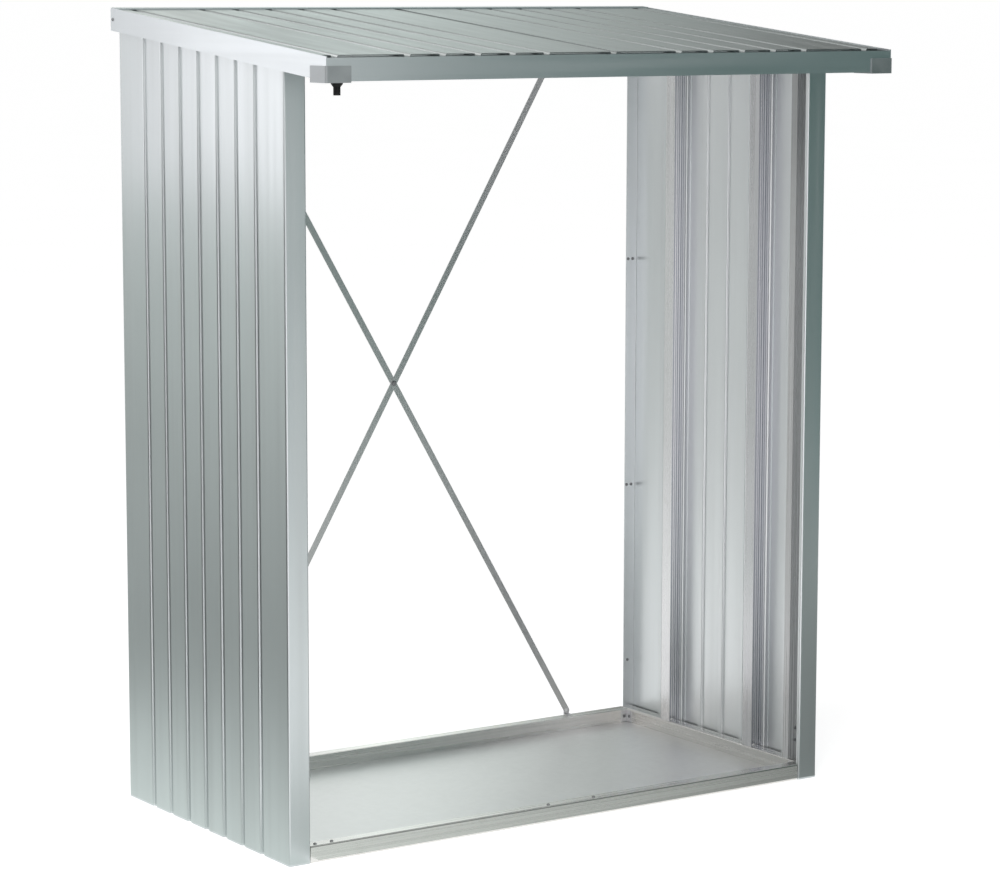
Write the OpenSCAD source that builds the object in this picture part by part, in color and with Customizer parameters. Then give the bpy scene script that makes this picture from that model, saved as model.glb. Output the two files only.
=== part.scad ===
// Open-fronted store with folded metal walls, a sloping roof with a gutter, and a floor frame.
// Millimetres, +Z up, front towards -Y, origin on the ground under the middle of the roof.

/* [Overall size] */
// width of the roof over its side trims
roof_w = 1600; // [1300:10:1900]
// depth of the roof from the gutter's face to the rear rail's face
roof_d = 1020; // [900:10:1300]
// height of the roof's rear edge above the ground
total_h = 1960; // [1600:10:2300]
// fall of the roof from rear to front
roof_fall = 98; // [60:2:140]
// how far the roof stands out in front of the walls
front_overhang = 220; // [160:5:280]
// how far each side trim stands outside its wall
side_overhang = 20; // [14:1:40]

/* [Folded sheet] */
// thickness of the sheet as drawn
sheet = 2; // [1:0.5:2.5]
// radius of a sheet bend, outside
bend_r = 4; // [2.6:0.2:5]
// width of a pressed groove at the surface
groove_mouth = 18; // [17:0.5:24]
// width of a groove's flat floor
groove_floor = 14; // [8:1:16]
// depth of a groove
groove_deep = 5.5; // [4:0.5:7]
// overlap of one sheet behind the next at a joint
lap = 12; // [6:1:16]

/* [Walls] */
// number of grooves in each side wall
wall_grooves = 7; // [6:1:8]
// wall's front face to the middle of its first groove
groove_front = 128; // [110:1:150]
// middle of the last groove to the wall's rear face
groove_rear = 132; // [110:1:150]
// width of the front corner's face
post_w = 57; // [50:1:80]
// depth of the small lip behind the front corner's inner edge
lip_d = 10; // [6:1:14]
// width of the flange turned in at the rear corner
rear_flange = 35; // [20:1:42]

/* [Floor frame] */
// width of a floor rail
rail_w = 34; // [30:1:44]
// height of a floor rail
rail_h = 40; // [36:1:60]
// wall thickness of a floor rail
rail_wall = 3; // [2:0.5:4]
// radius of a floor rail's upper edges
rail_round = 3; // [1:0.5:5]
// how far the front rail's face lies behind the walls' front faces
sill_back = 3; // [1:0.5:6]
// gap between the front rail's notched end and the front corner beside it
sill_gap = 2; // [1:1:20]
// thickness of the floor sheet
floor_t = 3; // [2:0.5:4]
// length of each leg of a corner bracket
bracket_leg = 22; // [16:1:30]
// thickness of a corner bracket or a brace's bracket
bracket_t = 2.5; // [1.5:0.5:4]

/* [Studs] */
// width of a middle or rear stud, front to back
stud_w = 38; // [30:1:46]
// width of a front stud, front to back
stud_front_w = 23; // [18:1:36]
// wall's front face to the front stud
stud_front_at = 62; // [52:1:74]
// how far a middle or rear stud's front face lies in front of the middle of its groove
stud_lead = 2; // [0:0.5:4]
// thickness of a stud's wall
stud_wall = 2; // [1.5:0.5:3]
// how far a stud's ribs stand out
rib_out = 1; // [0.5:0.1:1.5]
// width of a stud's rib
rib_w = 2.4; // [1.5:0.1:4]

/* [Roof] */
// height of a roof trim, gutter or rear rail
trim_h = 54.5; // [44:0.5:70]
// thickness of the roof's trims, gutter and rear rail
trim_t = 3; // [2:0.5:4]
// gap between a side trim and the roof sheet beside it
trim_gap = 1; // [0.5:0.5:4]
// how far the side trims stand above the roof sheets
roof_step = 2; // [0:0.5:2]
// length of the rear rail's returns round the roof's rear corners
rear_return = 22; // [12:1:30]
// roof's side to the middle of its outermost groove
roof_edge = 48; // [44:1:52]
// gutter's face to the front edge of the roof sheets
sheet_back = 45; // [36:1:54]
// depth of the gutter, front to back
gutter_w = 75; // [64:1:90]
// width of the ledges that carry the roof sheets
ledge_w = 22; // [14:1:30]
// roof sheets' front edge above the gutter's front edge
lip_drop = 3; // [1:0.5:6]

/* [Gutter ends] */
// thickness of a gutter cap
cap_t = 3; // [2:0.5:4]
// radius of a cap's upright corner
cap_round = 4.5; // [2:0.5:6]
// height of a gutter cap
cap_h = 34; // [24:1:42]
// length of a cap along the gutter's front
cap_front = 62; // [54:1:90]
// length of a cap along the side trim
cap_side = 65; // [48:1:80]
// roof's side to the middle of the outlet
outlet_in = 47; // [36:1:48]
// gutter's face to the middle of the outlet
outlet_back = 34; // [28:1:40]
// radius of the outlet's collar
outlet_collar_r = 13.5; // [11:0.5:18]
// radius of the outlet's tube
outlet_tube_r = 8; // [7:0.5:10]
// radius of the outlet's bore
outlet_bore_r = 6; // [4:0.5:6.5]
// height of the outlet's collar
outlet_collar_h = 3; // [2:0.5:5]
// height of the taper under the collar
outlet_taper_h = 7; // [4:0.5:12]
// length of the outlet, collar and all
outlet_h = 28; // [20:1:50]

/* [Bracing] */
// width of a brace strap
brace_w = 17; // [14:1:26]
// thickness of a brace strap
brace_t = 2; // [1:0.5:3]
// wall's outer face to the end of a brace
brace_in = 225; // [100:5:300]
// length of the foot of a brace's bracket, front to back
lug_foot = 14; // [8:1:20]

/* [Hidden] */
$fn = 48;
fit = 0.2;
roof_half = roof_w / 2;
rear_y = (roof_d + cap_t) / 2;
front_y = rear_y - roof_d;
wall_half = roof_half - side_overhang;
wall_front = front_y + front_overhang;
wall_rear = rear_y - trim_t;
wall_d = wall_rear - wall_front;
wall_pitch = (wall_d - groove_front - groove_rear) / (wall_grooves - 1);
// depth from the wall's outer face to the outside and the inside of the floor rails and studs
rail_out = groove_deep + sheet;
rail_in = rail_out + rail_w;
inner_half = wall_half - rail_in;
sill_front = wall_front + sill_back;
sill_half = wall_half - post_w - sill_gap;
sill_rear = rear_y - rail_w;
floor_y0 = sill_front + rail_w;
// a groove's flank, the turn at each of its bends, and how much of a bend's radius lies before its corner
flank = (groove_mouth - groove_floor) / 2;
turn = atan2(groove_deep, flank);
lead = tan(turn / 2);
// the roof's plane, and depths below it
slope = atan(roof_fall / roof_d);
ledge_top = trim_t + groove_deep + sheet;
ledge_low = ledge_top + trim_t;
trim_top = trim_t - min(roof_step, trim_t);
roof_pitch = (roof_half - roof_edge) / 8;
roof_sheet_half = roof_half - trim_t - trim_gap;
gutter_low = roof_z(front_y, trim_top) - trim_h;
gutter_lip = roof_z(front_y + sheet_back, trim_t + sheet) - lip_drop;
ledge_front = front_y + gutter_w + ledge_w;
ledge_rear = rear_y - trim_t - ledge_w;
strap_back = rear_y - max(trim_t, rail_wall);
brace_low = rail_h + bracket_t + brace_w / 2 + fit;
brace_high = roof_z(rear_y - trim_t, ledge_low) - brace_w - fit;
brace_half = wall_half - brace_in;

// height of a plane lying a given depth below the roof's top plane
function roof_z(y, down) = total_h - (rear_y - y) * roof_fall / roof_d - down / cos(slope);

function reversed(list) = [for (i = [len(list) - 1 : -1 : 0]) list[i]];
function joined(lists) = [for (list = lists) for (item = list) item];
function arc(x, y, r, a0, a1) = [for (i = [0 : 4]) [x + r * cos(a0 + (a1 - a0) * i / 4), y + r * sin(a0 + (a1 - a0) * i / 4)]];

// low half of a groove's line as [along, depth], with its rim at a given depth, a number of sheets in
function groove_half(c, rim, sheets) = concat(
    arc(
        c - groove_mouth / 2 + rim * flank / groove_deep - bend_r * lead,
        rim + bend_r,
        bend_r - sheets * sheet,
        -90,
        turn - 90
    ),
    arc(
        c - groove_floor / 2 + (bend_r - sheet) * lead,
        groove_deep - bend_r + sheet,
        bend_r - sheet + sheets * sheet,
        turn + 90,
        90
    )
);
// a groove's outer and inner lines
function groove_line(c, sheets) = concat(groove_half(c, 0, sheets), flipped(groove_half(c, 0, sheets), c));
function groove_outer(c) = groove_line(c, 0);
function groove_inner(c) = groove_line(c, 1);
// the same where the sheet ends in a lap behind its neighbour, on the low side
function lap_line(c, sheets) = concat(
    [[c - groove_mouth / 2 - lap, sheet + sheets * sheet]],
    groove_half(c, sheet, sheets),
    flipped(groove_half(c, 0, sheets), c)
);
function lap_outer(c) = lap_line(c, 0);
function lap_inner(c) = lap_line(c, 1);
// mirrors a line about a groove's middle, for a lap on the high side
function flipped(list, c) = reversed([for (p = list) [2 * c - p[0], p[1]]]);

function wall_groove(i) = groove_front + i * wall_pitch;
joint_front = wall_groove(1);
joint_rear = wall_groove(wall_grooves - 2);
// left wall's plan from [along, depth]
function wall_plan(list) = [for (p = list) [p[1] - wall_half, wall_front + p[0]]];

// extrudes a [y, z] outline along X
module along_x(x0, x1) {
    translate([x0, 0, 0])
        rotate([90, 0, 90])
            linear_extrude(height = x1 - x0)
                children();
}

// everything lower than a plane under the roof
module under_roof(down) {
    along_x(-roof_half, roof_half)
        polygon([
            [front_y, 0],
            [rear_y, 0],
            [rear_y, roof_z(rear_y, down)],
            [front_y, roof_z(front_y, down)]
        ]);
}

// upright piece of the left side from its plan outline, cut under the roof
module upright(z0) {
    intersection() {
        translate([0, 0, z0])
            linear_extrude(height = total_h - z0)
                children();
        under_roof(ledge_low);
    }
}

module wall_sheet(outer, inner) {
    color([0.72, 0.74, 0.75])
        upright(0)
            polygon(wall_plan(concat(outer, reversed(inner))));
}

module wall_front_panel() {
    first = wall_groove(0);
    edge = joint_front - groove_mouth / 2;
    wall_sheet(
        concat(
            [[lip_d, post_w]],
            arc(bend_r, post_w - bend_r, bend_r, 90, 180),
            arc(bend_r, bend_r, bend_r, 180, 270),
            groove_outer(first),
            [[edge, 0]]
        ),
        concat(
            [[lip_d, post_w - sheet]],
            arc(bend_r, post_w - bend_r, bend_r - sheet, 90, 180),
            arc(bend_r, bend_r, bend_r - sheet, 180, 270),
            groove_inner(first),
            [[edge, sheet]]
        )
    );
}

module wall_middle_panel() {
    between = [for (i = [2 : wall_grooves - 3]) wall_groove(i)];
    edge = joint_rear - groove_mouth / 2;
    wall_sheet(
        concat(
            lap_outer(joint_front),
            joined([for (c = between) groove_outer(c)]),
            [[edge, 0]]
        ),
        concat(
            lap_inner(joint_front),
            joined([for (c = between) groove_inner(c)]),
            [[edge, sheet]]
        )
    );
}

module wall_rear_panel() {
    last = wall_groove(wall_grooves - 1);
    wall_sheet(
        concat(
            lap_outer(joint_rear),
            groove_outer(last),
            arc(wall_d - bend_r, bend_r, bend_r, 270, 360),
            [[wall_d, rear_flange]]
        ),
        concat(
            lap_inner(joint_rear),
            groove_inner(last),
            arc(wall_d - bend_r, bend_r, bend_r - sheet, 270, 360),
            [[wall_d - sheet, rear_flange]]
        )
    );
}

module wall_left_front() { wall_front_panel(); }
module wall_left_middle() { wall_middle_panel(); }
module wall_left_rear() { wall_rear_panel(); }
module wall_right_front() { mirror([1, 0, 0]) wall_front_panel(); }
module wall_right_middle() { mirror([1, 0, 0]) wall_middle_panel(); }
module wall_right_rear() { mirror([1, 0, 0]) wall_rear_panel(); }

// hollow stud of the left side, plain or with ribs down its front and rear faces
module stud(from, width, ribbed) {
    rib_pitch = rail_w / 4;
    color([0.80, 0.80, 0.80])
        upright(rail_h)
            translate([rail_out - wall_half, wall_front + from]) {
                difference() {
                    square([rail_w, width]);
                    translate([stud_wall, stud_wall])
                        square([rail_w - 2 * stud_wall, width - 2 * stud_wall]);
                }
                if (ribbed)
                    for (i = [1 : 3]) {
                        translate([i * rib_pitch - rib_w / 2, -rib_out])
                            square([rib_w, rib_out]);
                        translate([i * rib_pitch - rib_w / 2, width])
                            square([rib_w, rib_out]);
                    }
            }
}

module stud_left_front() { stud(stud_front_at, stud_front_w, false); }
module stud_left_middle() { stud(joint_front - stud_lead, stud_w, true); }
module stud_left_rear() { stud(joint_rear - stud_lead, stud_w, true); }
module stud_right_front() { mirror([1, 0, 0]) stud_left_front(); }
module stud_right_middle() { mirror([1, 0, 0]) stud_left_middle(); }
module stud_right_rear() { mirror([1, 0, 0]) stud_left_rear(); }

// floor rail's section: open below, with rounded upper edges
module rail_section() {
    difference() {
        polygon(concat(
            [[rail_w, 0], [0, 0]],
            arc(rail_round, rail_h - rail_round, rail_round, 180, 90),
            arc(rail_w - rail_round, rail_h - rail_round, rail_round, 90, 0)
        ));
        translate([rail_wall, 0])
            square([rail_w - 2 * rail_wall, rail_h - rail_wall]);
    }
}

module floor_cross_rail(y) {
    color([0.70, 0.69, 0.66])
        along_x(-inner_half, inner_half)
            translate([y, 0])
                rail_section();
}

// the front rail's ends are notched round the lips of the front corners
module floor_front() {
    notch = lip_d + fit - sill_back;
    difference() {
        floor_cross_rail(sill_front);
        for (side = [0, 1])
            mirror([side, 0, 0])
                translate([sill_half, sill_front - notch, -rail_h])
                    cube([2 * post_w, 2 * notch, 3 * rail_h]);
    }
}

module floor_rear() { floor_cross_rail(sill_rear); }

module floor_left() {
    color([0.70, 0.69, 0.66])
        translate([rail_out - wall_half, wall_rear - sheet, 0])
            rotate([90, 0, 0])
                linear_extrude(height = wall_d - 2 * sheet)
                    rail_section();
}

module floor_right() { mirror([1, 0, 0]) floor_left(); }

module floor_bracket() {
    low = floor_t + 1;
    translate([0, 0, low])
        linear_extrude(height = rail_h - rail_round - low)
            union() {
                square([bracket_leg, bracket_t]);
                square([bracket_t, bracket_leg]);
            }
}

// bracket on the rear rail that stands behind a brace's foot
module brace_lug() {
    thick = min(bracket_t, rear_y - strap_back);
    union() {
        translate([brace_half, strap_back + thick, 0])
            rotate([90, 0, 0])
                linear_extrude(height = thick)
                    union() {
                        translate([0, brace_low])
                            circle(d = brace_w);
                        translate([-brace_w / 2, rail_h])
                            square([brace_w, brace_low - rail_h]);
                    }
        translate([brace_half - brace_w / 2, strap_back - lug_foot, rail_h])
            cube([brace_w, lug_foot + thick, bracket_t]);
    }
}

module floor_brackets() {
    color([0.82, 0.82, 0.82])
        for (side = [0, 1])
            mirror([side, 0, 0]) {
                brace_lug();
                translate([-inner_half, floor_y0, 0])
                    floor_bracket();
                translate([-inner_half, sill_rear, 0])
                    mirror([0, 1, 0])
                        floor_bracket();
            }
}

module floor_sheet() {
    color([0.80, 0.81, 0.80])
        translate([-inner_half, floor_y0, 0])
            cube([2 * inner_half, sill_rear - floor_y0, floor_t]);
}

// [y, z] outline of the upright face along the roof's side
module trim_face(y0, y1) {
    polygon([
        [y0, roof_z(y0, trim_top) - trim_h],
        [y1, roof_z(y1, trim_top) - trim_h],
        [y1, roof_z(y1, trim_top)],
        [y0, roof_z(y0, trim_top)]
    ]);
}

// side trim: an upright face, and a ledge over the wall that carries the roof sheet
module trim_left() {
    color([0.76, 0.78, 0.79]) {
        along_x(-roof_half, trim_t - roof_half)
            trim_face(front_y, rear_y - rear_return);
        along_x(trim_t - roof_half, -inner_half)
            polygon([
                [ledge_front, roof_z(ledge_front, ledge_low)],
                [ledge_rear, roof_z(ledge_rear, ledge_low)],
                [ledge_rear, roof_z(ledge_rear, ledge_top)],
                [ledge_front, roof_z(ledge_front, ledge_top)]
            ]);
    }
}

module trim_right() { mirror([1, 0, 0]) trim_left(); }

module outlet_hole(depth) {
    translate([outlet_in - roof_half, front_y + outlet_back, gutter_low - depth])
        cylinder(r = outlet_bore_r, h = 2 * depth);
}

module gutter() {
    back = front_y + gutter_w;
    color([0.66, 0.70, 0.71])
        difference() {
            along_x(trim_t - roof_half, roof_half - trim_t)
                polygon([
                    [front_y, gutter_low],
                    [front_y, gutter_lip],
                    [front_y + trim_t, gutter_lip],
                    [front_y + trim_t, gutter_low + trim_t],
                    [back - trim_t, gutter_low + trim_t],
                    [back - trim_t, roof_z(back - trim_t, ledge_top)],
                    [ledge_front, roof_z(ledge_front, ledge_top)],
                    [ledge_front, roof_z(ledge_front, ledge_low)],
                    [back, roof_z(back, ledge_low)],
                    [back, gutter_low]
                ]);
            outlet_hole(2 * trim_t);
        }
}

// rear rail: an upright face, a ledge under the roof sheets, a flange over them, and returns at both ends
module rear_rail() {
    face = rear_y - trim_t;
    low = roof_z(rear_y, trim_top) - trim_h;
    color([0.72, 0.74, 0.75]) {
        along_x(trim_t - roof_half, roof_half - trim_t)
            polygon([
                [rear_y, low],
                [rear_y, roof_z(rear_y, 0)],
                [ledge_rear, roof_z(ledge_rear, 0)],
                [ledge_rear, roof_z(ledge_rear, trim_t)],
                [face, roof_z(face, trim_t)],
                [face, roof_z(face, ledge_top)],
                [ledge_rear, roof_z(ledge_rear, ledge_top)],
                [ledge_rear, roof_z(ledge_rear, ledge_low)],
                [face, roof_z(face, ledge_low)],
                [face, low]
            ]);
        for (side = [0, 1])
            mirror([side, 0, 0])
                along_x(-roof_half, trim_t - roof_half)
                    trim_face(rear_y - rear_return, rear_y);
    }
}

// roof sheet from its [across, depth] lines, laid on the roof's slope
module roof_sheet(outer, inner) {
    color([0.70, 0.71, 0.71])
        translate([0, rear_y, total_h])
            rotate([slope, 0, 0])
                translate([0, -2 * trim_t, -trim_t])
                    rotate([90, 0, 0])
                        linear_extrude(height = (roof_d - sheet_back) / cos(slope) - 2 * trim_t)
                            polygon([for (p = concat(outer, reversed(inner))) [p[0], -p[1]]]);
}

roof_groove_steps = [2, 3, 4, 5, 6, 8];

// the sheet's turned-down outer edge, then its grooves, towards the middle
function roof_fold(r) = arc(bend_r - roof_sheet_half, bend_r, r, 180, 270);
function roof_outer() = concat(
    [[-roof_sheet_half, rail_out]],
    roof_fold(bend_r),
    joined([for (i = [len(roof_groove_steps) - 1 : -1 : 0]) groove_outer(-roof_groove_steps[i] * roof_pitch)])
);
function roof_inner() = concat(
    [[sheet - roof_sheet_half, rail_out]],
    roof_fold(bend_r - sheet),
    joined([for (i = [len(roof_groove_steps) - 1 : -1 : 0]) groove_inner(-roof_groove_steps[i] * roof_pitch)])
);

module roof_left() {
    roof_sheet(
        concat(roof_outer(), flipped(lap_outer(0), 0)),
        concat(roof_inner(), flipped(lap_inner(0), 0))
    );
}

module roof_right() {
    edge = -groove_mouth / 2;
    mirror([1, 0, 0])
        roof_sheet(
            concat(roof_outer(), [[edge, 0]]),
            concat(roof_inner(), [[edge, sheet]])
        );
}

// cap wrapped round the foot of the roof's front corner, with its upright corner rounded
module gutter_cap() {
    r = min(cap_round, 2 * cap_t);
    color([0.52, 0.53, 0.55])
        translate([-roof_half, front_y, gutter_low])
            difference() {
                translate([0, 0, -cap_t])
                    linear_extrude(height = cap_h + cap_t)
                        polygon(concat(
                            arc(r - cap_t, r - cap_t, r, 180, 270),
                            [[cap_front, -cap_t], [cap_front, cap_side], [-cap_t, cap_side]]
                        ));
                cube([2 * cap_front, 2 * cap_side, 2 * cap_h]);
            }
}

module cap_left() {
    difference() {
        gutter_cap();
        outlet_hole(2 * cap_t);
    }
}

module cap_right() { mirror([1, 0, 0]) gutter_cap(); }

module outlet() {
    color([0.05, 0.05, 0.05])
        translate([outlet_in - roof_half, front_y + outlet_back, gutter_low - cap_t])
            rotate_extrude()
                polygon([
                    [outlet_bore_r, 0],
                    [outlet_collar_r, 0],
                    [outlet_collar_r, -outlet_collar_h],
                    [outlet_tube_r, -outlet_collar_h - outlet_taper_h],
                    [outlet_tube_r, -outlet_h],
                    [outlet_bore_r, -outlet_h]
                ]);
}

// flat strap from low right to high left, with round ends
module brace_strap() {
    rise = brace_high - brace_low;
    run = 2 * brace_half;
    union() {
        translate([0, (brace_low + brace_high) / 2])
            rotate(-atan2(rise, run))
                square([sqrt(rise * rise + run * run), brace_w], center = true);
        brace_ends();
    }
}

module brace_ends() {
    translate([brace_half, brace_low])
        circle(d = brace_w);
    translate([-brace_half, brace_high])
        circle(d = brace_w);
}

// lays an [x, z] outline against the rear rails' inner face, a number of strap layers forward
module brace_layer(layer) {
    translate([0, strap_back - layer * brace_t, 0])
        rotate([90, 0, 0])
            linear_extrude(height = brace_t)
                children();
}

module brace_falling() {
    color([0.62, 0.62, 0.62])
        brace_layer(0)
            brace_strap();
}

// the second strap runs in front of the first, on pads at its ends
module brace_rising() {
    color([0.62, 0.62, 0.62])
        mirror([1, 0, 0])
            union() {
                brace_layer(1)
                    brace_strap();
                brace_layer(0)
                    brace_ends();
            }
}

floor_front();
floor_rear();
floor_left();
floor_right();
floor_brackets();
floor_sheet();
wall_left_front();
wall_left_middle();
wall_left_rear();
wall_right_front();
wall_right_middle();
wall_right_rear();
stud_left_front();
stud_left_middle();
stud_left_rear();
stud_right_front();
stud_right_middle();
stud_right_rear();
trim_left();
trim_right();
gutter();
rear_rail();
roof_left();
roof_right();
cap_left();
cap_right();
outlet();
brace_falling();
brace_rising();
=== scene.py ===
"""Dresses the log store: camera, studio, finishes, and the fixings that the solids leave out."""

import logging
import math
from dataclasses import dataclass
from enum import Enum

import bmesh
import bpy
from mathutils import Euler, Matrix, Vector


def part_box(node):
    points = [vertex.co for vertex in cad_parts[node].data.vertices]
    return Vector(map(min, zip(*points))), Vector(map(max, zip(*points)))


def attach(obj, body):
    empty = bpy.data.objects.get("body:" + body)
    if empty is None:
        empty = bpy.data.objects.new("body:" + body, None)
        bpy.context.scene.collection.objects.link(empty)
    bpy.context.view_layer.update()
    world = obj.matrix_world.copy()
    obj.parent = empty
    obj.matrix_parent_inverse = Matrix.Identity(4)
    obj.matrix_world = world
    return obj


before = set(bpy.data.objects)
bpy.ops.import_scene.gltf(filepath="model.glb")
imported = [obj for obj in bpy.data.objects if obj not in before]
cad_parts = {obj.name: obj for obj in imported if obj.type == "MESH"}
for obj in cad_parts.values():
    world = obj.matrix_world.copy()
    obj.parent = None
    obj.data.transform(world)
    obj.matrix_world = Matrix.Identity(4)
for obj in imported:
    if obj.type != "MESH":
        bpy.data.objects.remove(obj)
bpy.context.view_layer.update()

LOG = logging.getLogger("log_store")
Colour = tuple[float, float, float]
Point = tuple[float, float, float]
Socket = bpy.types.NodeSocket
Mesh = bmesh.types.BMesh
Material = bpy.types.Material

BLACK: Colour = (0.0, 0.0, 0.0)
WHITE: Colour = (1.0, 1.0, 1.0)
COOL: Colour = (1.02, 0.985, 1.01)
PALE_GREEN: Colour = (0.94, 1.0, 0.97)
SIDES = ("left", "right")


def shade(colour: Colour, factor: float) -> Colour:
    """Returns a colour made darker or paler, and no paler than white."""
    return tuple(min(c * factor, 1.0) for c in colour)


class Axis(Enum):
    """The way a sheet was rolled, a bar was drawn or a card's glow fades."""

    X = 0
    Y = 1
    Z = 2

    def scales(self, across: float, along: float) -> Point:
        """Returns texture scales that stretch a pattern along this axis."""
        return tuple(along if i == self.value else across for i in range(3))


class Facing(Enum):
    """The way a fixing's head or a studio card looks."""

    LEFT = (-1.0, 0.0, 0.0)
    RIGHT = (1.0, 0.0, 0.0)
    FRONT = (0.0, -1.0, 0.0)
    BACK = (0.0, 1.0, 0.0)
    UP = (0.0, 0.0, 1.0)
    BACK_RIGHT = (0.45, 0.89, 0.0)
    BACK_LEFT = (-0.72, 0.69, 0.0)
    FRONT_LEFT = (-0.75, -0.66, 0.0)

    def matrix(self, at: Vector, spin: float = 0.0) -> Matrix:
        """Places a shape that was built flat on the ground plane.

        Args:
            at: point that the shape sits on, in metres.
            spin: turn about the shape's own axis, in degrees.

        Returns:
            The matrix that moves the shape there.
        """
        turn = Vector(self.value).to_track_quat("Z", "Y").to_matrix().to_4x4()
        return Matrix.Translation(at) @ turn @ Matrix.Rotation(math.radians(spin), 4, "Z")


class ShaderGraph:
    """A material's node tree, with short calls that add and join its nodes."""

    def __init__(self, name: str) -> None:
        """Starts a tree with a principled shader, object coordinates and the surface's normals.

        Args:
            name: the material's name.
        """
        self.material = bpy.data.materials.new(name)
        self.material.use_nodes = True
        self.tree = self.material.node_tree
        self.tree.nodes.clear()
        self.shader = self.add("ShaderNodeBsdfPrincipled")
        self.add("ShaderNodeOutputMaterial", {"Surface": self.shader.outputs["BSDF"]})
        texture = self.add("ShaderNodeTexCoord")
        self.coords, self.normals = texture.outputs["Object"], texture.outputs["Normal"]

    def feed(self, socket: Socket, value: object) -> None:
        """Joins a socket to another, or sets its own value.

        Args:
            socket: the input to feed.
            value: an output socket, a number, or a colour or vector.
        """
        if isinstance(value, bpy.types.NodeSocket):
            self.tree.links.new(value, socket)
        elif socket.type == "RGBA" and len(value) == 3:
            socket.default_value = (*value, 1.0)
        else:
            socket.default_value = value

    def add(self, kind: str, sockets: dict | None = None, **settings: object) -> bpy.types.Node:
        """Adds a node.

        Args:
            kind: Blender's name for the node's type.
            sockets: what each input is fed, by name or number.
            settings: the node's own properties.

        Returns:
            The new node.
        """
        node = self.tree.nodes.new(kind)
        for key, value in settings.items():
            setattr(node, key, value)
        for key, value in (sockets or {}).items():
            self.feed(node.inputs[key], value)
        return node

    def set(self, **sockets: object) -> None:
        """Feeds the shader's inputs, with underscores for the spaces in their names."""
        for key, value in sockets.items():
            self.feed(self.shader.inputs[key.replace("_", " ")], value)

    def stretched(self, scales: Point) -> Socket:
        """Returns object coordinates scaled by different amounts along the axes."""
        return self.add("ShaderNodeMapping", {"Vector": self.coords, "Scale": scales}).outputs["Vector"]

    def along(self, axis: Axis) -> Socket:
        """Returns the object coordinate along one axis."""
        return self.add("ShaderNodeSeparateXYZ", {"Vector": self.coords}).outputs[axis.value]

    def noise(self, scale: float, detail: float, where: Socket | None = None) -> Socket:
        """Makes a noise pattern.

        Args:
            scale: features to the metre.
            detail: how many finer layers it has.
            where: coordinates to read, or the object's own.

        Returns:
            The pattern, from 0 to 1.
        """
        sockets = {"Vector": where or self.coords, "Scale": scale, "Detail": detail}
        return self.add("ShaderNodeTexNoise", sockets).outputs["Fac"]

    def grain(self, run: Axis, across: float, along: float, detail: float) -> Socket:
        """Makes a noise pattern that is drawn out along one axis.

        Args:
            run: the axis.
            across: features to the metre across the axis.
            along: features to the metre along it.
            detail: how many finer layers the pattern has.

        Returns:
            The pattern, from 0 to 1.
        """
        return self.noise(1.0, detail, self.stretched(run.scales(across, along)))

    def cells(self, scale: float) -> Socket:
        """Returns a grey that differs from crystal to crystal, as on hot-dipped zinc."""
        node = self.add("ShaderNodeTexVoronoi", {"Vector": self.coords, "Scale": scale, "Randomness": 1.0})
        return self.add("ShaderNodeSeparateColor", {"Color": node.outputs["Color"]}).outputs["Red"]

    def spread(
        self, value: Socket, low: float, high: float, start: float = 0.3, end: float = 0.7
    ) -> Socket:
        """Maps a pattern to a range.

        Args:
            value: the pattern.
            low: what start becomes.
            high: what end becomes.
            start: the pattern's lower limit.
            end: the pattern's upper limit.

        Returns:
            The mapped number.
        """
        sockets = {"Value": value, "From Min": start, "From Max": end, "To Min": low, "To Max": high}
        return self.add("ShaderNodeMapRange", sockets).outputs["Result"]

    def maths(self, operation: str, first: Socket | float, second: Socket | float = 0.0) -> Socket:
        """Returns what an operation makes of one or two numbers."""
        return self.add("ShaderNodeMath", {0: first, 1: second}, operation=operation).outputs[0]

    def dot(self, first: Socket, second: Socket) -> Socket:
        """Returns the dot product of two vectors."""
        node = self.add("ShaderNodeVectorMath", {0: first, 1: second}, operation="DOT_PRODUCT")
        return node.outputs["Value"]

    def blend(self, share: Socket | float, first: Socket | Colour, second: Socket | Colour) -> Socket:
        """Returns a mix of two colours."""
        node = self.add("ShaderNodeMix", {0: share, 6: first, 7: second}, data_type="RGBA")
        return node.outputs[2]

    def relief(
        self, height: Socket, strength: float, depth: float, normal: Socket | None = None
    ) -> Socket:
        """Bends the surface's normal by a pattern.

        Args:
            height: the pattern.
            strength: share of the effect, from 0 to 1.
            depth: height of the pattern in metres.
            normal: the normal to start from, or the surface's own.

        Returns:
            The bent normal.
        """
        sockets = {"Height": height, "Strength": strength, "Distance": depth}
        if normal is not None:
            sockets["Normal"] = normal
        return self.add("ShaderNodeBump", sockets).outputs["Normal"]


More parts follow.
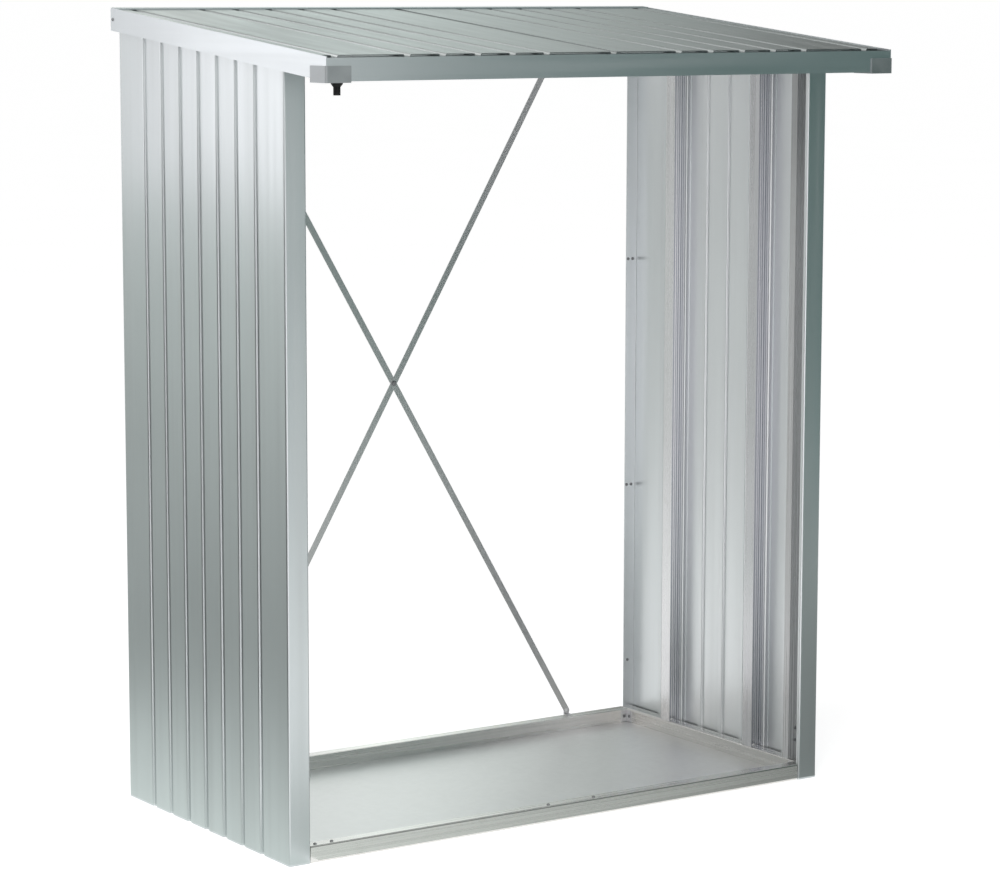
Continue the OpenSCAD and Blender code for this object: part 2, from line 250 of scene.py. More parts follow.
@dataclass(frozen=True)
class CoatedSheet:
    """Silver metallic coating baked on to folded sheet.

    The side that looks in towards the middle of the store can be painted paler by a given share, as painted
    light on the inner faces.
    """

    name: str
    colour: Colour
    run: Axis
    lining: float = 0.0
    metallic: float = 0.9
    roughness: float = 0.32
    wave_depth: float = 0.0005
    flake_depth: float = 0.00005
    streak_colour: Colour = (0.40, 0.41, 0.40)
    flake_colour: Colour = (0.86, 0.88, 0.89)
    lining_colour: Colour = (0.92, 0.93, 0.94)
    lining_edge: float = 0.02

    def material(self) -> Material:
        """Returns the coating, with flake, faint streaks along the roll, the sheet's slight waves, and
        painted light on its inward faces when asked.
        """
        g = ShaderGraph(self.name)
        cloud = g.noise(scale=2.1, detail=4.0)
        streak = g.grain(self.run, across=38.0, along=0.9, detail=4.0)
        flake = g.noise(scale=1400.0, detail=1.0)
        wave = g.grain(self.run, across=7.0, along=1.3, detail=1.0)
        base = g.blend(g.spread(cloud, 0.0, 1.0), shade(self.colour, 0.95), shade(self.colour, 1.04))
        base = g.blend(g.spread(streak, 0.0, 0.12, start=0.45, end=0.75), base, self.streak_colour)
        base = g.blend(g.spread(flake, 0.0, 0.22, start=0.55, end=0.75), base, self.flake_colour)
        # Painted light: faces that look in towards the middle are blended to a paler colour.
        if self.lining:
            outward = g.dot(g.stretched((1.0, 1.0, 0.0)), g.normals)
            share = g.spread(outward, self.lining, 0.0, start=-self.lining_edge, end=self.lining_edge)
            base = g.blend(share, base, self.lining_colour)
        rough = g.spread(streak, self.roughness - 0.04, self.roughness + 0.06)
        normal = g.relief(wave, strength=0.5, depth=self.wave_depth)
        normal = g.relief(flake, strength=0.10, depth=self.flake_depth, normal=normal)
        g.set(Base_Color=base, Metallic=self.metallic, Roughness=rough, Normal=normal)
        g.set(Coat_Weight=0.12, Coat_Roughness=0.25)
        return g.material


@dataclass(frozen=True)
class DrawnMetal:
    """Bare aluminium drawn through a die, with fine lines along its length.

    Painted shade lines run up the sides in the flute hollows, at a pitch counted from the smooth face, which
    looks along X.
    A dark line of painted shade is drawn at its own height, standing in for the shadow along a top front
    edge.
    """

    name: str
    colour: Colour
    run: Axis
    bands: float = 0.10
    metallic: float = 1.0
    roughness: float = 0.26
    line_depth: float = 0.0001
    mark_colour: Colour = (0.42, 0.41, 0.38)
    flute_pitch: float = 0.0
    flute_face: float = 0.0
    flute_tone: Colour = (0.39, 0.41, 0.445)
    seam: float = 0.0
    seam_core: float = 0.0008
    seam_edge: float = 0.0018
    seam_tone: float = 0.25

    def material(self) -> Material:
        """Returns the metal, with die lines, lengthwise bands, small handling marks, and painted shade in
        flutes or a painted shadow line.
        """
        g = ShaderGraph(self.name)
        line = g.grain(self.run, across=900.0, along=2.0, detail=3.0)
        band = g.grain(self.run, across=120.0, along=1.2, detail=3.0)
        mark = g.noise(scale=34.0, detail=6.0)
        base = g.blend(g.spread(band, 0.0, 1.0), shade(self.colour, 1.0 - 2.2 * self.bands), self.colour)
        base = g.blend(g.spread(line, 0.0, 0.2), base, shade(self.colour, 0.8))
        base = g.blend(g.spread(mark, 0.0, 0.12, start=0.58, end=0.72), base, self.mark_colour)
        # Painted shade: dark lines in the flute hollows.
        if self.flute_pitch:
            base = self.fluted(g, base)
        # Painted shadow line: a dark band at one height along the part.
        if self.seam:
            away = g.maths("ABSOLUTE", g.maths("SUBTRACT", g.along(Axis.Z), self.seam))
            share = g.spread(away, 0.8, 0.0, start=self.seam_core, end=self.seam_edge)
            base = g.blend(share, base, shade(self.colour, self.seam_tone))
        rough = g.spread(band, self.roughness - 0.05, self.roughness + 0.06)
        normal = g.relief(line, strength=0.08, depth=self.line_depth)
        g.set(Base_Color=base, Metallic=self.metallic, Roughness=rough, Normal=normal, Anisotropic=0.35)
        return g.material

    def fluted(self, g: ShaderGraph, base: Socket) -> Socket:
        """Paints shade into the hollows of the flutes, as dark lines.

        Args:
            g: the metal's tree.
            base: its colour so far.

        Returns:
            The colour with the painted hollow shade in it.
        """
        depth = g.maths("SUBTRACT", g.maths("ABSOLUTE", g.along(Axis.X)), self.flute_face)
        flute = g.maths("COSINE", g.maths("MULTIPLY", depth, math.tau / self.flute_pitch))
        hollow_shade = tuple(c * k for c, k in zip(self.colour, self.flute_tone))
        return g.blend(g.spread(flute, 0.85, 0.0, start=0.1, end=0.95), base, hollow_shade)


@dataclass(frozen=True)
class ZincCoat:
    """Zinc on steel, dipped for sheet and strap or plated for small parts."""

    name: str
    colour: Colour
    roughness: float
    crystals: float = 420.0
    metallic: float = 1.0
    scuffs: float = 0.1
    blotches: float = 0.3
    grain: float = 0.08
    contrast: float = 0.06
    blotch_depth: float = 0.0008
    grain_depth: float = 0.0001
    scuff_colour: Colour = (0.35, 0.35, 0.33)

    def material(self) -> Material:
        """Returns the zinc, with its crystals, blotches and scuffs."""
        g = ShaderGraph(self.name)
        crystal = g.cells(self.crystals)
        blotch = g.noise(scale=5.0, detail=5.0)
        scuff = g.grain(Axis.Y, across=60.0, along=7.0, detail=5.0)
        deep, pale = (shade(self.colour, 1.0 + k) for k in (-self.contrast, self.contrast))
        base = g.blend(crystal, deep, pale)
        share = g.spread(blotch, 0.0, self.blotches, start=0.4, end=0.7)
        base = g.blend(share, base, shade(self.colour, 0.84))
        share = g.spread(scuff, 0.0, self.scuffs, start=0.55, end=0.75)
        base = g.blend(share, base, self.scuff_colour)
        low, high = self.roughness - self.contrast, self.roughness + self.contrast
        rough = g.spread(crystal, low, high, start=0.0, end=1.0)
        normal = g.relief(blotch, self.blotches, self.blotch_depth)
        normal = g.relief(crystal, self.grain, self.grain_depth, normal)
        g.set(Base_Color=base, Metallic=self.metallic, Roughness=rough, Normal=normal)
        return g.material


@dataclass(frozen=True)
class MouldedPlastic:
    """Plastic from a lightly spark-eroded mould, plain or with a silver pigment."""

    name: str
    colour: Colour
    roughness: float
    silver: float = 0.0
    gloss: float = 0.5
    grain_depth: float = 0.0001

    def material(self) -> Material:
        """Returns the plastic, with its grain, flow marks and rubbed patches."""
        g = ShaderGraph(self.name)
        spark = g.noise(scale=1600.0, detail=2.0)
        flow = g.noise(scale=18.0, detail=3.0)
        pale = tuple(c * 1.15 + 0.006 for c in self.colour)
        base = g.blend(g.spread(flow, 0.0, 1.0), self.colour, pale)
        rough = g.spread(flow, self.roughness - 0.06, self.roughness + 0.08)
        normal = g.relief(spark, strength=0.2, depth=self.grain_depth)
        g.set(Base_Color=base, Metallic=self.silver, Roughness=rough, Normal=normal)
        g.set(Specular_IOR_Level=self.gloss)
        return g.material


def new_object(name: str, bm: Mesh, material: Material) -> bpy.types.Object:
    """Makes an object from a bmesh and adds it to the scene.

    Args:
        name: its name.
        bm: its shape, which is freed.
        material: its finish.

    Returns:
        The object.
    """
    mesh = bpy.data.meshes.new(name)
    bm.to_mesh(mesh)
    bm.free()
    mesh.materials.append(material)
    made = bpy.data.objects.new(name, mesh)
    bpy.context.scene.collection.objects.link(made)
    return made


def mesh_piece(name: str, bm: Mesh, material: Material) -> None:
    """Makes a piece of small fixings that rides on the store.

    Args:
        name: the piece's name.
        bm: the shape, which is freed.
        material: its finish.
    """
    bmesh.ops.recalc_face_normals(bm, faces=bm.faces)
    piece = new_object(name, bm, material)
    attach(piece, "root")
    LOG.info("%s: %d faces", name, len(piece.data.polygons))


def staged(name: str, bm: Mesh, material: Material) -> bpy.types.Object:
    """Makes a part of the studio.

    Args:
        name: its name.
        bm: its shape, which is freed.
        material: its finish.

    Returns:
        The object.
    """
    piece = new_object(name, bm, material)
    return piece


def dress(nodes: list[str], material: Material) -> None:
    """Gives solids a finish.

    Args:
        nodes: names of the solids.
        material: the finish.
    """
    for name in nodes:
        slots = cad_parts[name].data.materials
        slots.clear()
        slots.append(material)
        LOG.info("%s: %s", name, material.name)


def pair(stem: str) -> list[str]:
    """Returns the names of a left and a right solid, with the side put in the stem's gap."""
    return [stem.format(side) for side in SIDES]


def join(bm: Mesh, part: Mesh, place: Matrix) -> None:
    """Moves a small part into place and adds it to a larger mesh.

    Args:
        bm: the mesh that takes it.
        part: the small part, which is freed.
        place: where it goes.
    """
    bmesh.ops.recalc_face_normals(part, faces=part.faces)
    bmesh.ops.transform(part, matrix=place, verts=part.verts)
    scratch = bpy.data.meshes.new("scratch")
    part.to_mesh(scratch)
    part.free()
    bm.from_mesh(scratch)
    bpy.data.meshes.remove(scratch)


def new_verts(made: list) -> list[bmesh.types.BMVert]:
    """Returns the points among what an operator made."""
    return [item for item in made if isinstance(item, bmesh.types.BMVert)]


@dataclass
class ScrewHead:
    """Pan-head sheet screw with a cross recess.

    The crown's steps are how much each ring grows, and how far it drops as a share of the height.
    """

    radius: float = 0.0042
    height: float = 0.0026
    recess: float = 0.0022
    slot: float = 0.0008
    sides: int = 24
    flat: float = 0.62
    crown: tuple[tuple[float, float], ...] = ((1.30, 0.16), (1.17, 0.34), (1.06, 0.50))
    recess_taper: float = 0.6
    recess_depth: float = 0.75

    def add(self, bm: Mesh, place: Matrix) -> None:
        """Adds one head.

        Args:
            bm: the mesh that takes it.
            place: where it goes.
        """
        head = bmesh.new()
        s, r = self.slot, self.recess
        arm = [Vector((r, -s, 0)), Vector((r, s, 0)), Vector((s, s, 0))]
        corners = [Matrix.Rotation(math.pi / 2 * i, 3, "Z") @ p for i in range(4) for p in arm]
        cross = head.faces.new([head.verts.new((p.x, p.y, self.height)) for p in corners])
        outline = list(cross.edges)
        ring = bmesh.ops.create_circle(head, segments=self.sides, radius=self.radius * self.flat)["verts"]
        bmesh.ops.translate(head, verts=ring, vec=(0, 0, self.height))
        rim = [e for e in head.edges if all(v in ring for v in e.verts)]
        bmesh.ops.bridge_loops(head, edges=outline + rim)
        for grow, drop in self.crown:
            made = bmesh.ops.extrude_edge_only(head, edges=rim)["geom"]
            ring = new_verts(made)
            edges = [item for item in made if isinstance(item, bmesh.types.BMEdge)]
            rim = [e for e in edges if all(v in ring for v in e.verts)]
            bmesh.ops.scale(head, verts=ring, vec=(grow, grow, 1.0))
            bmesh.ops.translate(head, verts=ring, vec=(0, 0, -drop * self.height))
        floor = new_verts(bmesh.ops.extrude_face_region(head, geom=[cross])["geom"])
        bmesh.ops.delete(head, geom=[cross], context="FACES_ONLY")
        bmesh.ops.scale(head, verts=floor, vec=(self.recess_taper, self.recess_taper, 1.0))
        bmesh.ops.translate(head, verts=floor, vec=(0, 0, -self.recess_depth * self.height))
        join(bm, head, place)


@dataclass
class Prism:
    """A flat prism with a softened edge round its top, such as a washer."""

    sides: int
    radius: float
    height: float
    edge: float

    def add(self, bm: Mesh, place: Matrix, low: float = 0.0) -> None:
        """Adds one prism.

        Args:
            bm: the mesh that takes it.
            place: where it goes.
            low: height of its foot above that place.
        """
        part = bmesh.new()
        bmesh.ops.create_circle(part, cap_ends=True, segments=self.sides, radius=self.radius)
        top = new_verts(bmesh.ops.extrude_face_region(part, geom=list(part.faces))["geom"])
        bmesh.ops.translate(part, verts=top, vec=(0, 0, self.height))
        rim = [e for e in part.edges if all(v in top for v in e.verts)]
        bmesh.ops.bevel(
            part, geom=rim, offset=self.edge, segments=2, profile=0.5, affect="EDGES", material=-1
        )
        bmesh.ops.translate(part, verts=part.verts, vec=(0, 0, low))
        join(bm, part, place)


@dataclass
class HexBolt:
    """Hexagon nut on a round washer, with the end of its thread."""

    across_flats: float = 0.010
    height: float = 0.004
    thread_r: float = 0.003
    thread_out: float = 0.002
    edge: float = 0.0006
    thread_sides: int = 16

    def add(self, bm: Mesh, washer: Prism, place: Matrix) -> None:
        """Adds one nut with its washer.

        Args:
            bm: the mesh that takes it.
            washer: the washer under it.
            place: where it goes.
        """
        washer.add(bm, place)
        over_corners = self.across_flats / math.sqrt(3.0)
        nut = Prism(sides=6, radius=over_corners, height=self.height, edge=self.edge)
        nut.add(bm, place, washer.height)
        thread = Prism(self.thread_sides, self.thread_r, self.thread_out, self.edge)
        thread.add(bm, place, washer.height + self.height)


@dataclass
class FloorFrame:
    """The four rails with their brackets and the sheet inside them."""

    screw: ScrewHead
    dull: Material
    across_colour: Colour = (0.82, 0.815, 0.79)
    back_colour: Colour = (0.68, 0.676, 0.655)
    sheet_colour: Colour = (0.81, 0.815, 0.81)
    bracket_colour: Colour = (0.64, 0.645, 0.65)
    seam_drop: float = 0.0026
    bracket_leg: float = 0.013
    bracket_t: float = 0.0025
    sill_places: tuple[float, ...] = (-0.702, -0.657, -0.044, 0.091, 0.702)
    sill_depth: float = 0.4
    sill_spin: float = 40.0

    def build(self) -> None:
        """Dresses the frame and adds the screws of its brackets and its sill."""
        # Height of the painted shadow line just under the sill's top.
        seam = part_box("floor_front")[1].z - self.seam_drop
        dress(["floor_front"], DrawnMetal("sill_drawn", self.across_colour, Axis.X, seam=seam).material())
        dress(["floor_rear"], DrawnMetal("rail_drawn_across", self.across_colour, Axis.X).material())
        dress(pair("floor_{}"), DrawnMetal("rail_drawn_back", self.back_colour, Axis.Y).material())
        sheet = ZincCoat(
            "floor_zinc", self.sheet_colour, roughness=0.40, crystals=70.0, metallic=0.9,
            scuffs=0.03, blotches=0.05, grain=0.01, contrast=0.02,
        )
        bracket = ZincCoat("bracket_zinc", self.bracket_colour, roughness=0.34)
        dress(["floor_sheet"], sheet.material())
        dress(["floor_brackets"], bracket.material())
        self.bracket_screws()
        self.sill_screws()

    def bracket_screws(self) -> None:
        """Puts a screw in each leg of the four brackets."""
        left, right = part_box("floor_left")[1].x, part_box("floor_right")[0].x
        front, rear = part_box("floor_front")[1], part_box("floor_rear")[0]
        leg, thick, rise = self.bracket_leg, self.bracket_t, front.z / 2
        bm = bmesh.new()
        for x, inward in ((left, 1.0), (right, -1.0)):
            across = Facing.RIGHT if inward > 0 else Facing.LEFT
            for y, forward in ((front.y, 1.0), (rear.y, -1.0)):
                along = Facing.BACK if forward > 0 else Facing.FRONT
                on_rail = Vector((x + inward * leg, y + forward * thick, rise))
                on_side = Vector((x + inward * thick, y + forward * leg, rise))
                self.screw.add(bm, along.matrix(on_rail, spin=20.0))
                self.screw.add(bm, across.matrix(on_side, spin=65.0))
        mesh_piece("bracket_screws", bm, self.dull)

    def sill_screws(self) -> None:
        """Puts the screws down through the front rail, near its ends and its middle."""
        low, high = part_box("floor_front")
        y = low.y + self.sill_depth * (high.y - low.y)
        bm = bmesh.new()
        for i, x in enumerate(self.sill_places):
            self.screw.add(bm, Facing.UP.matrix(Vector((x, y, high.z)), spin=self.sill_spin * i))
        mesh_piece("sill_screws", bm, self.dull)


@dataclass
class Walls:
    """The folded side sheets.

    Each flange place is an inset from the wall's outer edge and a height.
    """

    screw: ScrewHead
    dull: Material
    colour: Colour = (0.545, 0.585, 0.59)
    # Painted light: each wall part's inner faces are painted paler, by a share set per part.
    linings: tuple[tuple[str, float], ...] = (("front", 0.52), ("middle", 0.45), ("rear", 0.32))
    sheet_t: float = 0.002
    flange_places: tuple[tuple[float, float], ...] = (
        (0.022, 0.17),
        (0.014, 0.66),
        (0.029, 0.66),
        (0.014, 1.28),
        (0.029, 1.28),
    )
    flange_spin: float = 17.0

    def build(self) -> None:
        """Dresses the sheets, with painted light on their inner faces, and adds the screws in their rear
        flanges.
        """
        for part, lining in self.linings:
            coat = CoatedSheet(f"wall_coat_{part}", self.colour, Axis.Z, lining)
            dress(pair("wall_{}_" + part), coat.material())
        self.flange_screws()

    def flange_screws(self) -> None:
        """Puts screws up the front of each rear flange."""
        bm = bmesh.new()
        for side, inner in (("left", 1.0), ("right", -1.0)):
            low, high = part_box(f"wall_{side}_rear")
            edge = low.x if inner > 0 else high.x
            for i, (inset, z) in enumerate(self.flange_places):
                at = Vector((edge + inner * inset, high.y - self.sheet_t, z))
                self.screw.add(bm, Facing.FRONT.matrix(at, spin=self.flange_spin * i))
        mesh_piece("flange_screws", bm, self.dull)


@dataclass
class Studs:
    """The hollow uprights inside the walls."""

    screw: ScrewHead
    plated: Material
    dull: Material
    front_colour: Colour = (0.58, 0.585, 0.59)
    middle_colour: Colour = (0.62, 0.625, 0.64)
    rear_colour: Colour = (0.74, 0.742, 0.75)
    flute_pitch: float = 0.0068
    top_drop: float = 0.05
    front_rises: tuple[float, ...] = (0.048, 0.08)
    front_offset: float = 0.0045
    front_spin_per_m: float = 400.0
    foot_inset: float = 0.0065
    foot_rise: float = 0.006

    def build(self) -> None:
        """Dresses the studs and adds the screws at their feet, at their tops and in the front ones' faces."""
        plain, middle, rear = (pair("stud_{}_" + part) for part in ("front", "middle", "rear"))
        front_metal = DrawnMetal("stud_plain", self.front_colour, Axis.Z, bands=0.04, metallic=0.4)
        dress(plain, front_metal.material())
        dress(middle, self.fluted("stud_fluted", self.middle_colour))
        dress(rear, self.fluted("stud_fluted_pale", self.rear_colour))
        self.face_screws(plain + middle + rear)
        self.foot_screws(middle + rear)

    def fluted(self, name: str, colour: Colour) -> Material:
        """Makes the finish of a stud with painted shade lines in the flutes up its sides.

        Args:
            name: the finish's name.
            colour: the metal's colour.

        Returns:
            The finish.
        """
        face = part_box("stud_right_rear")[0].x
        metal = DrawnMetal(name, colour, Axis.Z, bands=0.05, flute_pitch=self.flute_pitch, flute_face=face)
        return metal.material()

    def face_screws(self, names: list[str]) -> None:
        """Puts screws at the studs' tops, and up the front of the plain ones.

        Args:
            names: all the studs.
        """
        bm = bmesh.new()
        for name in names:
            low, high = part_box(name)
            middle = (low.x + high.x) / 2
            inner = low.x if middle > 0 else high.x
            facing = Facing.LEFT if middle > 0 else Facing.RIGHT
            at = Vector((inner, (low.y + high.y) / 2, high.z - self.top_drop))
            self.screw.add(bm, facing.matrix(at, spin=31.0))
            if name.endswith("front"):
                for rise in self.front_rises:
                    z = low.z + rise
                    at = Vector((middle + math.copysign(self.front_offset, middle), low.y, z))
                    self.screw.add(bm, Facing.FRONT.matrix(at, spin=self.front_spin_per_m * z))
        mesh_piece("stud_screws", bm, self.dull)

    def foot_screws(self, names: list[str]) -> None:
        """Puts a screw at the foot of each fluted stud's front, by the smooth face.

        Args:
            names: the fluted studs.
        """
        bm = bmesh.new()
        for name in names:
            low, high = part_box(name)
            side = math.copysign(1.0, low.x)
            inner = low.x if side > 0 else high.x
            at = Vector((inner + side * self.foot_inset, low.y, low.z + self.foot_rise))
            self.screw.add(bm, Facing.FRONT.matrix(at, spin=25.0))
        mesh_piece("stud_foot_screws", bm, self.plated)


@dataclass
class Roof:
    """Sheets, side trims, gutter and rear rail."""

    screw: ScrewHead
    dull: Material
    sheet_colour: Colour = (0.525, 0.555, 0.55)
    trim_colour: Colour = (0.55, 0.59, 0.60)
    return_inset: float = 0.011

    def build(self) -> None:
        """Dresses the roof and adds the screws in the rear rail's returns."""
        dress(pair("roof_{}"), CoatedSheet("roof_coat", self.sheet_colour, Axis.Y).material())
        dress(pair("trim_{}"), CoatedSheet("trim_coat_back", self.trim_colour, Axis.Y).material())
        across = CoatedSheet("trim_coat_across", self.trim_colour, Axis.X)
        dress(["gutter", "rear_rail"], across.material())
        low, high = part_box("rear_rail")
        bm = bmesh.new()
        for x, facing in ((low.x, Facing.LEFT), (high.x, Facing.RIGHT)):
            at = Vector((x, high.y - self.return_inset, (low.z + high.z) / 2))
            self.screw.add(bm, facing.matrix(at, spin=15.0))
        mesh_piece("return_screws", bm, self.dull)


@dataclass
class GutterEnds:
    """The caps on the gutter's corners, and the outlet."""

    cap_colour: Colour = (0.31, 0.332, 0.338)
    outlet_colour: Colour = (0.008, 0.009, 0.009)

    def build(self) -> None:
        """Dresses the caps and the outlet."""
        cap = MouldedPlastic("cap_grey", self.cap_colour, roughness=0.42, silver=0.8)
        outlet = MouldedPlastic("outlet_black", self.outlet_colour, roughness=0.5, gloss=0.15)
        dress(pair("cap_{}"), cap.material())
        dress(["outlet"], outlet.material())


@dataclass
class Bracing:
    """The crossed straps at the back."""

    screw: ScrewHead
    bolt: HexBolt
    washer: Prism
    plated: Material
    dull: Material
    colour: Colour = (0.61, 0.62, 0.615)
    end_inset: float = 0.0085

    def build(self) -> None:
        """Dresses the straps and adds the bolt where they cross and the screws at their ends."""
        zinc = ZincCoat(
            "strap_zinc", self.colour, roughness=0.32, metallic=0.92,
            blotches=0.2, grain=0.01, contrast=0.02,
        )
        dress(["brace_falling", "brace_rising"], zinc.material())
        self.fixings()

    def fixings(self) -> None:
        """Puts a nut and a low head where the straps cross, and a screw with a washer at each end."""
        low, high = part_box("brace_rising")
        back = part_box("brace_falling")
        middle = Vector(((low.x + high.x) / 2, low.y, (low.z + high.z) / 2))
        behind = Vector((middle.x, back[1].y, middle.z))
        bm = bmesh.new()
        self.bolt.add(bm, self.washer, Facing.FRONT.matrix(middle, spin=12.0))
        self.screw.add(bm, Facing.BACK.matrix(behind, spin=40.0))
        mesh_piece("strap_bolt", bm, self.dull)
        end = self.end_inset
        bm = bmesh.new()
        for x, z in ((high.x - end, high.z - end), (low.x + end, low.z + end)):
            self.end_screw(bm, Vector((x, low.y, z)), spin=25.0)
        for x, z in ((back[1].x - end, back[0].z + end), (back[0].x + end, back[1].z - end)):
            self.end_screw(bm, Vector((x, back[0].y, z)), spin=50.0)
        mesh_piece("strap_screws", bm, self.plated)

    def end_screw(self, bm: Mesh, at: Vector, spin: float) -> None:
        """Puts a screw with a washer at a strap's end.

        Args:
            bm: the mesh that takes it.
            at: point on the strap's front.
            spin: turn of the screw's cross, in degrees.
        """
        self.washer.add(bm, Facing.FRONT.matrix(at))
        self.screw.add(bm, Facing.FRONT.matrix(at - Vector((0.0, self.washer.height, 0.0)), spin))


@dataclass
class Camera:
    """The photograph's viewpoint, in metres and degrees."""

    place: Point = (-4.3843, -6.5485, 2.0123)
    yaw: float = 33.771
    pitch: float = -8.019
    roll: float = -0.097
    focal_px: float = 3217.2
    image_px: float = 1000.0
    sensor_mm: float = 36.0

    def build(self) -> None:
        """Makes the camera and hands it to the scene."""
        data = bpy.data.cameras.new("camera")
        data.sensor_width = self.sensor_mm
        data.lens = self.focal_px * self.sensor_mm / self.image_px
        camera = bpy.data.objects.new("camera", data)
        turn = Euler((math.radians(90.0 + self.pitch), 0.0, math.radians(-self.yaw))).to_matrix()
        turn = turn @ Matrix.Rotation(math.radians(-self.roll), 3, "Z")
        camera.matrix_world = Matrix.Translation(self.place) @ turn.to_4x4()
        bpy.context.scene.collection.objects.link(camera)
        bpy.context.scene.camera = camera


@dataclass
class Card:
    """A card in the studio that only its reflections show.

    Its glow is plain, or goes to a second value along the axis of its fade.
    """

    name: str
    place: Point
    width: float
    height: float
    facing: Facing
    glow: float
    glow_end: float | None = None
    fade: Axis = Axis.X
    tint: Colour = PALE_GREEN

    def build(self) -> None:
        """Sets the card up."""
        bm = bmesh.new()
        bmesh.ops.create_grid(bm, x_segments=1, y_segments=1, size=0.5)
        bmesh.ops.scale(bm, verts=bm.verts, vec=(self.width, self.height, 1.0))
        bmesh.ops.transform(bm, matrix=self.facing.matrix(Vector(self.place)), verts=bm.verts)
        g = ShaderGraph(self.name)
        glow = self.glow
        if self.glow_end is not None:
            ends = [v.co[self.fade.value] for v in bm.verts]
            glow = g.spread(g.along(self.fade), self.glow, self.glow_end, min(ends), max(ends))
        g.set(Base_Color=BLACK, Specular_IOR_Level=0.0)
        g.set(Emission_Color=self.tint, Emission_Strength=glow)
        g.material.cycles.emission_sampling = "NONE"
        card = staged(self.name, bm, g.material)
        card.visible_camera = card.visible_diffuse = card.visible_shadow = False


@dataclass
class Lamp:
    """A soft square lamp that the metal does not mirror."""

    name: str
    place: Point
    aim: Point
    side: float
    watts: float

    def build(self) -> None:
        """Hangs the lamp."""
        data = bpy.data.lights.new(self.name, "AREA")
        data.shape = "SQUARE"
        data.size = self.side
        data.energy = self.watts
        lamp = bpy.data.objects.new(self.name, data)
        turn = (Vector(self.aim) - Vector(self.place)).to_track_quat("-Z", "Y").to_matrix().to_4x4()
        lamp.matrix_world = Matrix.Translation(self.place) @ turn
        lamp.visible_camera = lamp.visible_glossy = False
        bpy.context.scene.collection.objects.link(lamp)


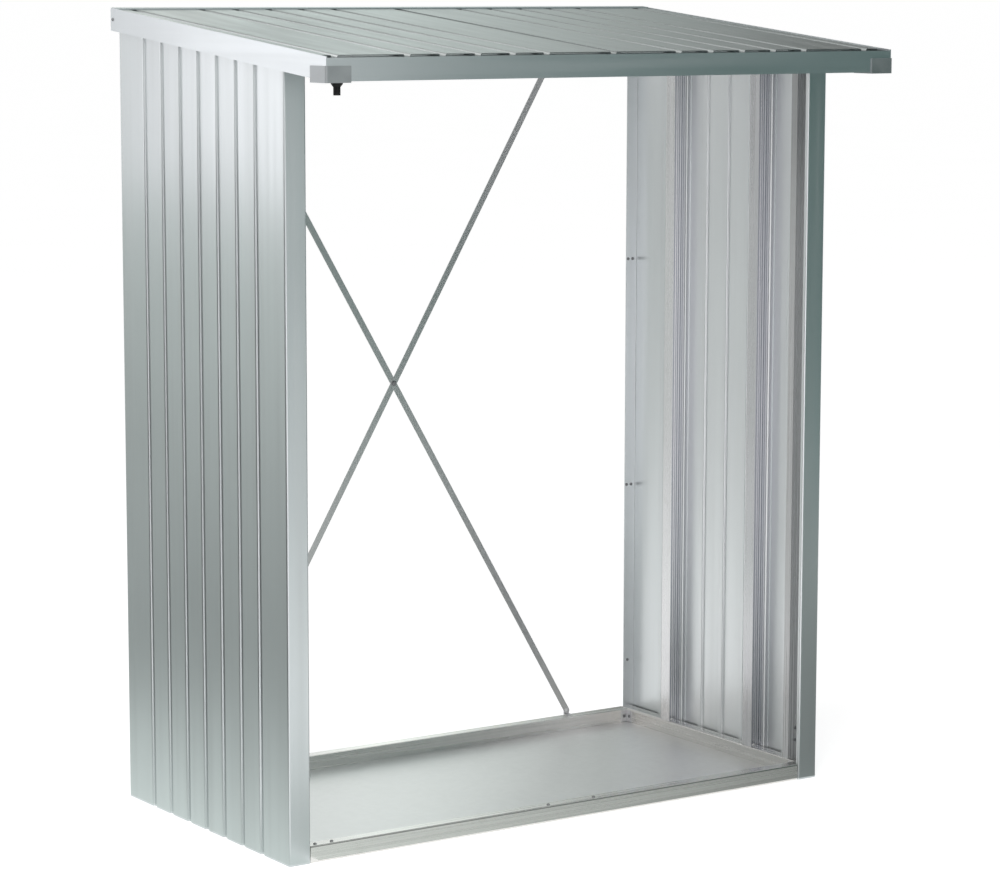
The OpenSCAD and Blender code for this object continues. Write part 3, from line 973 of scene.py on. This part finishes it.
@dataclass
class Studio:
    """Pale floor, white surround, soft lamps, and the cards that the metal mirrors."""

    ambient: float = 0.45
    floor_pale: float = 0.80
    floor_fleck: float = 0.985
    floor_lift: float = 0.64
    floor_drop: float = 0.0006
    floor_reach: float = 600.0
    ground_z: float = 0.004

    def build(self) -> None:
        """Makes the surround, the floor, the lamps and the cards."""
        self.world()
        self.floor()
        Lamp("key_lamp", (-3.0, -2.8, 4.2), aim=(-0.5, -0.2, 1.2), side=2.2, watts=120.0).build()
        Lamp("fill_lamp", (-4.4, 1.6, 3.6), aim=(-0.6, 0.2, 1.0), side=2.4, watts=45.0).build()
        for card in self.left_cards() + self.front_cards() + self.rear_cards() + self.roof_cards():
            card.build()

    def left_cards(self) -> list[Card]:
        """Returns the cards that the outside of the left wall and the inside of the right one mirror."""
        right, up = Facing.RIGHT, Facing.UP
        return [
            Card("left_card", (-1.7, 1.65, 0.715), 2.2, 1.43, right, 0.33, 0.86, Axis.Z),
            Card("left_dark", (-1.7, -0.45, 0.8), 2.0, 1.6, right, 0.03, 0.10, Axis.Z),
            Card("left_panel", (-2.3, 1.75, 2.2), 1.9, 1.9, right, 1.9, tint=COOL),
            Card("left_fade", (-2.3, 3.4, 2.2), 1.4, 1.9, right, 1.9, 0.0, Axis.Y, COOL),
            Card("left_ground", (-1.235, 1.1, self.ground_z), 1.03, 3.0, up, 0.42, 1.10),
            Card("left_flag", (-1.2, 1.75, 1.0), 0.9, 2.0, right, 0.45),
            Card("far_flag", (-1.7, 4.3, 1.0), 1.6, 2.0, right, 0.6),
        ]

    def front_cards(self) -> list[Card]:
        """Returns the cards that the front corners, the gutter, the sill and the rear flanges mirror."""
        up, teal = Facing.UP, (0.50, 1.0, 0.93)
        return [
            Card("front_panel", (-1.4, -2.0, 0.75), 2.6, 1.5, Facing.BACK_RIGHT, 1.75, tint=COOL),
            Card("front_ground", (-1.6, -1.3, self.ground_z), 1.6, 1.4, up, 1.75, tint=WHITE),
            Card("front_card", (3.2, -3.2, 1.7), 4.2, 3.4, Facing.BACK_LEFT, 0.20, 0.12, Axis.Z, teal),
            Card("sill_ground", (0.15, -0.60, self.ground_z), 1.7, 0.66, up, 0.82, 0.24),
            Card("right_ground", (2.15, -1.4, self.ground_z), 2.3, 2.2, up, 0.25),
        ]

    @staticmethod
    def rear_cards() -> list[Card]:
        """Returns the cards that the roof's flat bands and the floor sheet mirror."""
        slant, front, green = Facing.FRONT_LEFT, Facing.FRONT, (0.90, 1.0, 0.97)
        return [
            Card("rear_bright", (1.64, 6.26, 3.9), 2.0, 3.4, slant, 1.2),
            Card("rear_fade", (3.15, 4.54, 3.9), 2.58, 3.4, slant, 1.2, 0.14, tint=green),
            Card("rear_dark", (4.79, 2.67, 3.9), 2.4, 3.4, slant, 0.12),
            Card("rear_low", (2.5, 3.6, 0.85), 1.6, 1.7, front, 1.5, 0.0),
            Card("rear_shade", (4.1, 3.6, 0.85), 1.6, 1.7, front, 0.05),
            Card("rear_flag", (0.1, 3.6, 1.0), 1.2, 2.0, front, 0.08),
        ]

    @staticmethod
    def roof_cards() -> list[Card]:
        """Returns the cards that the flanks of the roof's grooves mirror."""
        front = Facing.FRONT
        return [
            Card("roof_flag", (-0.1, 2.3, 3.2), 2.0, 0.8, front, 0.2),
            Card("roof_fade", (-1.55, 2.3, 3.2), 0.9, 0.8, front, 1.1, 0.2),
            Card("roof_high_flag", (1.6, 2.3, 4.4), 2.0, 1.6, front, 0.15),
            Card("roof_high_fade", (-0.1, 2.3, 4.4), 1.4, 1.6, front, 1.1, 0.15),
        ]

    @staticmethod
    def seen(tree: bpy.types.NodeTree) -> Socket:
        """Makes a switch for what the camera and reflections show.

        Args:
            tree: the tree that takes its nodes.

        Returns:
            1 for rays from the camera, from gloss and through glass, and 0 for the rest.
        """
        path = tree.nodes.new("ShaderNodeLightPath")
        total = path.outputs["Is Camera Ray"]
        for name in ("Is Glossy Ray", "Is Transmission Ray"):
            most = tree.nodes.new("ShaderNodeMath")
            most.operation = "MAXIMUM"
            tree.links.new(total, most.inputs[0])
            tree.links.new(path.outputs[name], most.inputs[1])
            total = most.outputs[0]
        return total

    def world(self) -> None:
        """Makes a surround that looks white and lights the object softly."""
        world = bpy.data.worlds.new("surround")
        world.use_nodes = True
        world.cycles.sampling_method = "NONE"
        tree = world.node_tree
        tree.nodes.clear()
        lit, shown = (tree.nodes.new("ShaderNodeBackground") for _ in range(2))
        lit.inputs["Strength"].default_value = self.ambient
        lit.inputs["Color"].default_value = (*WHITE, 1.0)
        shown.inputs["Color"].default_value = (*WHITE, 1.0)
        mix = tree.nodes.new("ShaderNodeMixShader")
        out = tree.nodes.new("ShaderNodeOutputWorld")
        tree.links.new(self.seen(tree), mix.inputs[0])
        tree.links.new(lit.outputs[0], mix.inputs[1])
        tree.links.new(shown.outputs[0], mix.inputs[2])
        tree.links.new(mix.outputs[0], out.inputs["Surface"])
        bpy.context.scene.world = world

    def floor(self) -> None:
        """Makes a pale floor that keeps the store's shadow."""
        g = ShaderGraph("studio_floor")
        tone = g.noise(scale=0.8, detail=3.0)
        pale = shade(WHITE, self.floor_pale)
        base = g.blend(g.spread(tone, 0.0, 1.0), shade(pale, self.floor_fleck), pale)
        lift = g.maths("MULTIPLY", self.seen(g.tree), self.floor_lift)
        g.set(Base_Color=base, Roughness=0.9, Specular_IOR_Level=0.0)
        g.set(Emission_Color=WHITE, Emission_Strength=lift)
        g.material.cycles.emission_sampling = "NONE"
        bm = bmesh.new()
        bmesh.ops.create_grid(bm, x_segments=1, y_segments=1, size=self.floor_reach)
        bmesh.ops.translate(bm, verts=bm.verts, vec=(0, 0, -self.floor_drop))
        staged("floor", bm, g.material)


def main() -> None:
    """Builds the scene piece by piece."""
    logging.basicConfig(level=logging.INFO, format="%(name)s %(message)s")
    bpy.context.scene.view_settings.view_transform = "Standard"
    Camera().build()
    Studio().build()
    screw = ScrewHead()
    washer = Prism(sides=28, radius=0.0075, height=0.0012, edge=0.0003)
    plated = ZincCoat("plated_zinc", (0.78, 0.785, 0.79), roughness=0.3).material()
    # Painted shade: screws that sit in shadow get a dark, rougher zinc, and its darkness stands in for their
    # shade.
    dull = ZincCoat("dull_shaded_zinc", (0.30, 0.305, 0.31), roughness=0.4).material()
    FloorFrame(screw, dull).build()
    Walls(screw, dull).build()
    Studs(screw, plated, dull).build()
    Roof(screw, dull).build()
    GutterEnds().build()
    Bracing(screw, HexBolt(), washer, plated, dull).build()


if __name__ == "__main__":
    main()
